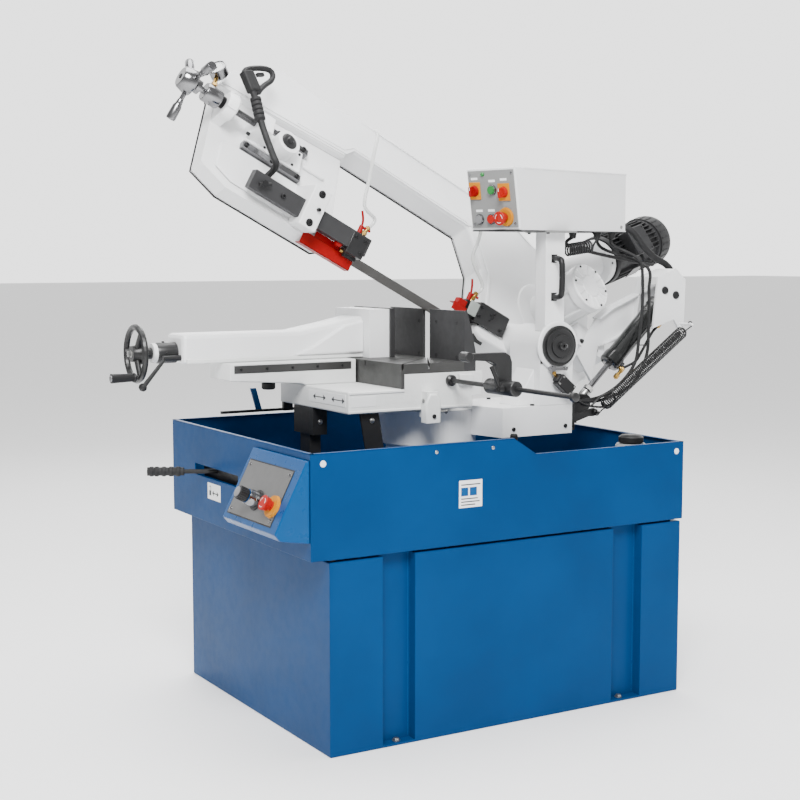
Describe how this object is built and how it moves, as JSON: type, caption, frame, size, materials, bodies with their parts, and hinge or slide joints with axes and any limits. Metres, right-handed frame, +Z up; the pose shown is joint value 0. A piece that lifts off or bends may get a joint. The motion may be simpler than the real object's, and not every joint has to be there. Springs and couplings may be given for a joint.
{
  "type": "band saw",
  "caption": "Mitre band saw with a tilted bow on a swivel arm, cabinet base, chip tray, handwheel vise, control box and lift cylinder.",
  "frame": {"origin": "centre of the cabinet's footprint on the floor", "axes": "+X to the right along the front, +Y to the back, +Z up"},
  "size_m": [1.9884, 1.1576, 1.786],
  "materials": {
    "painted_white": "satin",
    "painted_blue": "satin",
    "painted_dark": "satin",
    "machined_steel": "satin",
    "red_plastic": "gloss",
    "yellow_plastic": "gloss",
    "green_plastic": "gloss",
    "painted_grey": "satin",
    "black_plastic": "matte"
  },
  "bodies": {
    "base": {"cabinet": "painted_blue", "chip_tray": "painted_blue", "pulpit_housing": "painted_blue", "base_estop_collar": "yellow_plastic", "bed_pedestal": "painted_white", "bed_casting": "painted_white", "bed_table": "painted_dark", "fixed_jaw_near": "machined_steel", "fixed_jaw_far": "machined_steel", "support_post": "painted_dark", "strap_plate": "painted_dark", "coolant_pump": "painted_grey", "length_stop_rod": "machined_steel"},
    "swivel": {"swivel_arm": "painted_white", "pivot_column": "painted_white", "control_post": "painted_white", "electric_box": "painted_white", "control_panel": "painted_grey", "panel_estop_collar": "yellow_plastic", "limit_switch": "yellow_plastic", "rod_bracket": "painted_dark", "return_spring": "black_plastic"},
    "head": {"bow_frame": "painted_white", "pivot_cam": "painted_dark", "saw_blade": "machined_steel", "guide_clamp": "painted_white", "right_guide": "painted_dark", "head_handle": "painted_dark", "gearbox": "painted_white", "motor": "painted_dark", "tail_arm": "painted_white"},
    "vise_carriage": {"vise_base": "painted_white"},
    "vise_slide": {"vise_ram": "painted_white", "jaw_plate": "machined_steel"},
    "handwheel": {"handwheel": "painted_dark"},
    "crank_handle": {"crank_handle": "black_plastic"},
    "quick_lever": {"vise_quick_lever": "black_plastic"},
    "coolant_knob": {"coolant_knob": "black_plastic"},
    "base_estop": {"base_estop_button": "red_plastic"},
    "stop_slider": {"length_stop_slider": "painted_dark"},
    "stop_lever": {"length_stop_lever": "black_plastic"},
    "lock_lever": {"swivel_lock_lever": "black_plastic"},
    "main_switch": {"main_switch_knob": "red_plastic"},
    "speed_switch": {"speed_switch_knob": "red_plastic"},
    "start_button": {"start_button": "green_plastic"},
    "grey_button": {"grey_button": "painted_grey"},
    "red_button": {"red_button": "red_plastic"},
    "panel_estop": {"panel_estop_button": "red_plastic"},
    "limit_lever": {"limit_lever": "machined_steel"},
    "rear_cover": {"rear_cover": "painted_white"},
    "idler_slide": {"idler_slide": "painted_white"},
    "idler_wheel": {"idler_wheel": "machined_steel"},
    "drive_wheel": {"drive_wheel": "machined_steel"},
    "tension_handle": {"tension_handle": "painted_dark"},
    "guide_bar": {"guide_bar": "machined_steel"},
    "left_valve": {"left_valve": "painted_blue"},
    "right_valve": {"right_valve": "painted_blue"},
    "trigger": {"handle_trigger": "red_plastic"},
    "barrel": {"cylinder_barrel": "painted_dark"},
    "rod": {"cylinder_rod": "machined_steel"}
  },
  "joints": [
    {"name": "mitre_swivel", "type": "hinge", "parent": "base", "child": "swivel", "pos_m": [0.027, 0.07, 0.76], "axis": [0, 0, 1], "range_deg": [-25, 60]},
    {"name": "head_lift", "type": "hinge", "parent": "swivel", "child": "head", "pos_m": [0.3215, 0.07, 0.996], "axis": [0, 1, 0], "range_deg": [-28, 4], "deforming": ["return_spring"]},
    {"name": "vise_cross", "type": "slide", "parent": "base", "child": "vise_carriage", "axis": [0, 1, 0], "range_m": [-0.25, 0]},
    {"name": "vise_clamp", "type": "slide", "parent": "vise_carriage", "child": "vise_slide", "axis": [1, 0, 0], "range_m": [-0.2, 0.07]},
    {"name": "handwheel_turn", "type": "hinge", "parent": "vise_slide", "child": "handwheel", "pos_m": [-0.814, 0.229, 0.988], "axis": [1, 0, 0], "range_deg": [-3150, 9000]},
    {"name": "crank_spin", "type": "hinge", "parent": "handwheel", "child": "crank_handle", "pos_m": [-0.86, 0.2, 0.925], "axis": [1, 0, 0], "continuous": true},
    {"name": "quick_lever_turn", "type": "hinge", "parent": "vise_slide", "child": "quick_lever", "pos_m": [-0.72, 0.187, 0.975], "axis": [1, 0, 0], "range_deg": [-30, 0]},
    {"name": "coolant_knob_turn", "type": "hinge", "parent": "base", "child": "coolant_knob", "pos_m": [-0.68948, -0.28, 0.64302], "axis": [-0.8913, 0, 0.4533], "range_deg": [0, 270]},
    {"name": "base_estop_press", "type": "slide", "parent": "base", "child": "base_estop", "axis": [0.8913, 0, -0.4533], "range_m": [0, 0.005], "stiffness_N_per_m": 600},
    {"name": "length_stop_slide", "type": "slide", "parent": "base", "child": "stop_slider", "axis": [0, -1, 0], "range_m": [-0.1, 0.24]},
    {"name": "length_stop_clamp", "type": "hinge", "parent": "stop_slider", "child": "stop_lever", "pos_m": [-0.05, -0.43, 0.907], "axis": [1, 0, 0], "range_deg": [-40, 40]},
    {"name": "swivel_lock_turn", "type": "hinge", "parent": "base", "child": "lock_lever", "pos_m": [-0.34, 0.05, 0.65], "axis": [0, 0, 1], "range_deg": [0, 38]},
    {"name": "main_switch_turn", "type": "hinge", "parent": "swivel", "child": "main_switch", "pos_m": [0.09752, -0.08381, 1.44057], "axis": [-0.9538, -0.2556, -0.158], "range_deg": [-90, 0]},
    {"name": "speed_switch_turn", "type": "hinge", "parent": "swivel", "child": "speed_switch", "pos_m": [0.12613, -0.18692, 1.43464], "axis": [-0.9538, -0.2556, -0.158], "range_deg": [-45, 45]},
    {"name": "start_button_press", "type": "slide", "parent": "swivel", "child": "start_button", "axis": [0.9538, 0.2556, 0.158], "range_m": [0, 0.003], "stiffness_N_per_m": 300},
    {"name": "grey_button_press", "type": "slide", "parent": "swivel", "child": "grey_button", "axis": [0.9538, 0.2556, 0.158], "range_m": [0, 0.003], "stiffness_N_per_m": 300},
    {"name": "red_button_press", "type": "slide", "parent": "swivel", "child": "red_button", "axis": [0.9538, 0.2556, 0.158], "range_m": [0, 0.003], "stiffness_N_per_m": 300},
    {"name": "panel_estop_press", "type": "slide", "parent": "swivel", "child": "panel_estop", "axis": [0.9538, 0.2556, 0.158], "range_m": [0, 0.004], "stiffness_N_per_m": 600},
    {"name": "limit_lever_turn", "type": "hinge", "parent": "swivel", "child": "limit_lever", "pos_m": [0.339, -0.195, 0.93], "axis": [0, 1, 0], "range_deg": [-10, 0], "stiffness_Nm_per_rad": 0.3},
    {"name": "rear_cover_open", "type": "hinge", "parent": "head", "child": "rear_cover", "pos_m": [0.24183, 0.33671, 1.44638], "axis": [0.8829, 0, -0.4695], "range_deg": [0, 100]},
    {"name": "blade_tension", "type": "slide", "parent": "head", "child": "idler_slide", "axis": [0.8829, 0, -0.4695], "range_m": [0, 0.012]},
    {"name": "tension_handle_turn", "type": "hinge", "parent": "head", "child": "tension_handle", "pos_m": [-0.69285, 0.08947, 1.71204], "axis": [0.8829, 0, -0.4695], "range_deg": [0, 1440]},
    {"name": "drive_wheel_spin", "type": "hinge", "parent": "head", "child": "drive_wheel", "pos_m": [0.4671, 0.15875, 1.04998], "axis": [0.2347, -0.866, 0.4415], "continuous": true},
    {"name": "idler_wheel_spin", "type": "hinge", "parent": "idler_slide", "child": "idler_wheel", "pos_m": [-0.43527, 0.15875, 1.52978], "axis": [0.2347, -0.866, 0.4415], "continuous": true},
    {"name": "guide_bar_slide", "type": "slide", "parent": "head", "child": "guide_bar", "axis": [0.8829, 0, -0.4695], "range_m": [0, 0.16]},
    {"name": "left_valve_turn", "type": "hinge", "parent": "guide_bar", "child": "left_valve", "pos_m": [-0.23265, 0.005, 1.32722], "axis": [0.4695, 0, 0.8829], "range_deg": [0, 90]},
    {"name": "right_valve_turn", "type": "hinge", "parent": "head", "child": "right_valve", "pos_m": [0.15025, 0.033, 1.1293], "axis": [0.4695, 0, 0.8829], "range_deg": [0, 90]},
    {"name": "trigger_press", "type": "slide", "parent": "head", "child": "trigger", "axis": [-0.2184, 0.3956, 0.8921], "range_m": [0, 0.003], "stiffness_N_per_m": 200},
    {"name": "cylinder_swing", "type": "hinge", "parent": "head", "child": "barrel", "pos_m": [0.806, -0.09, 1.135], "axis": [0, 1, 0], "range_deg": [-4, 4]},
    {"name": "cylinder_stroke", "type": "slide", "parent": "barrel", "child": "rod", "axis": [-0.7315, 0, -0.6819], "range_m": [-0.02, 0.12]}
  ],
  "couplings": [
    {"joint": "handwheel_turn", "follows": "vise_clamp", "rad_per_m": -785.4},
    {"joint": "tension_handle_turn", "follows": "blade_tension", "rad_per_m": 2094.4},
    {"joint": "idler_wheel_spin", "follows": "drive_wheel_spin", "ratio": 1},
    {"joint": "cylinder_swing", "follows": "head_lift", "ratio": -0.107},
    {"joint": "cylinder_stroke", "follows": "head_lift", "m_per_rad": -0.22059}
  ]
}
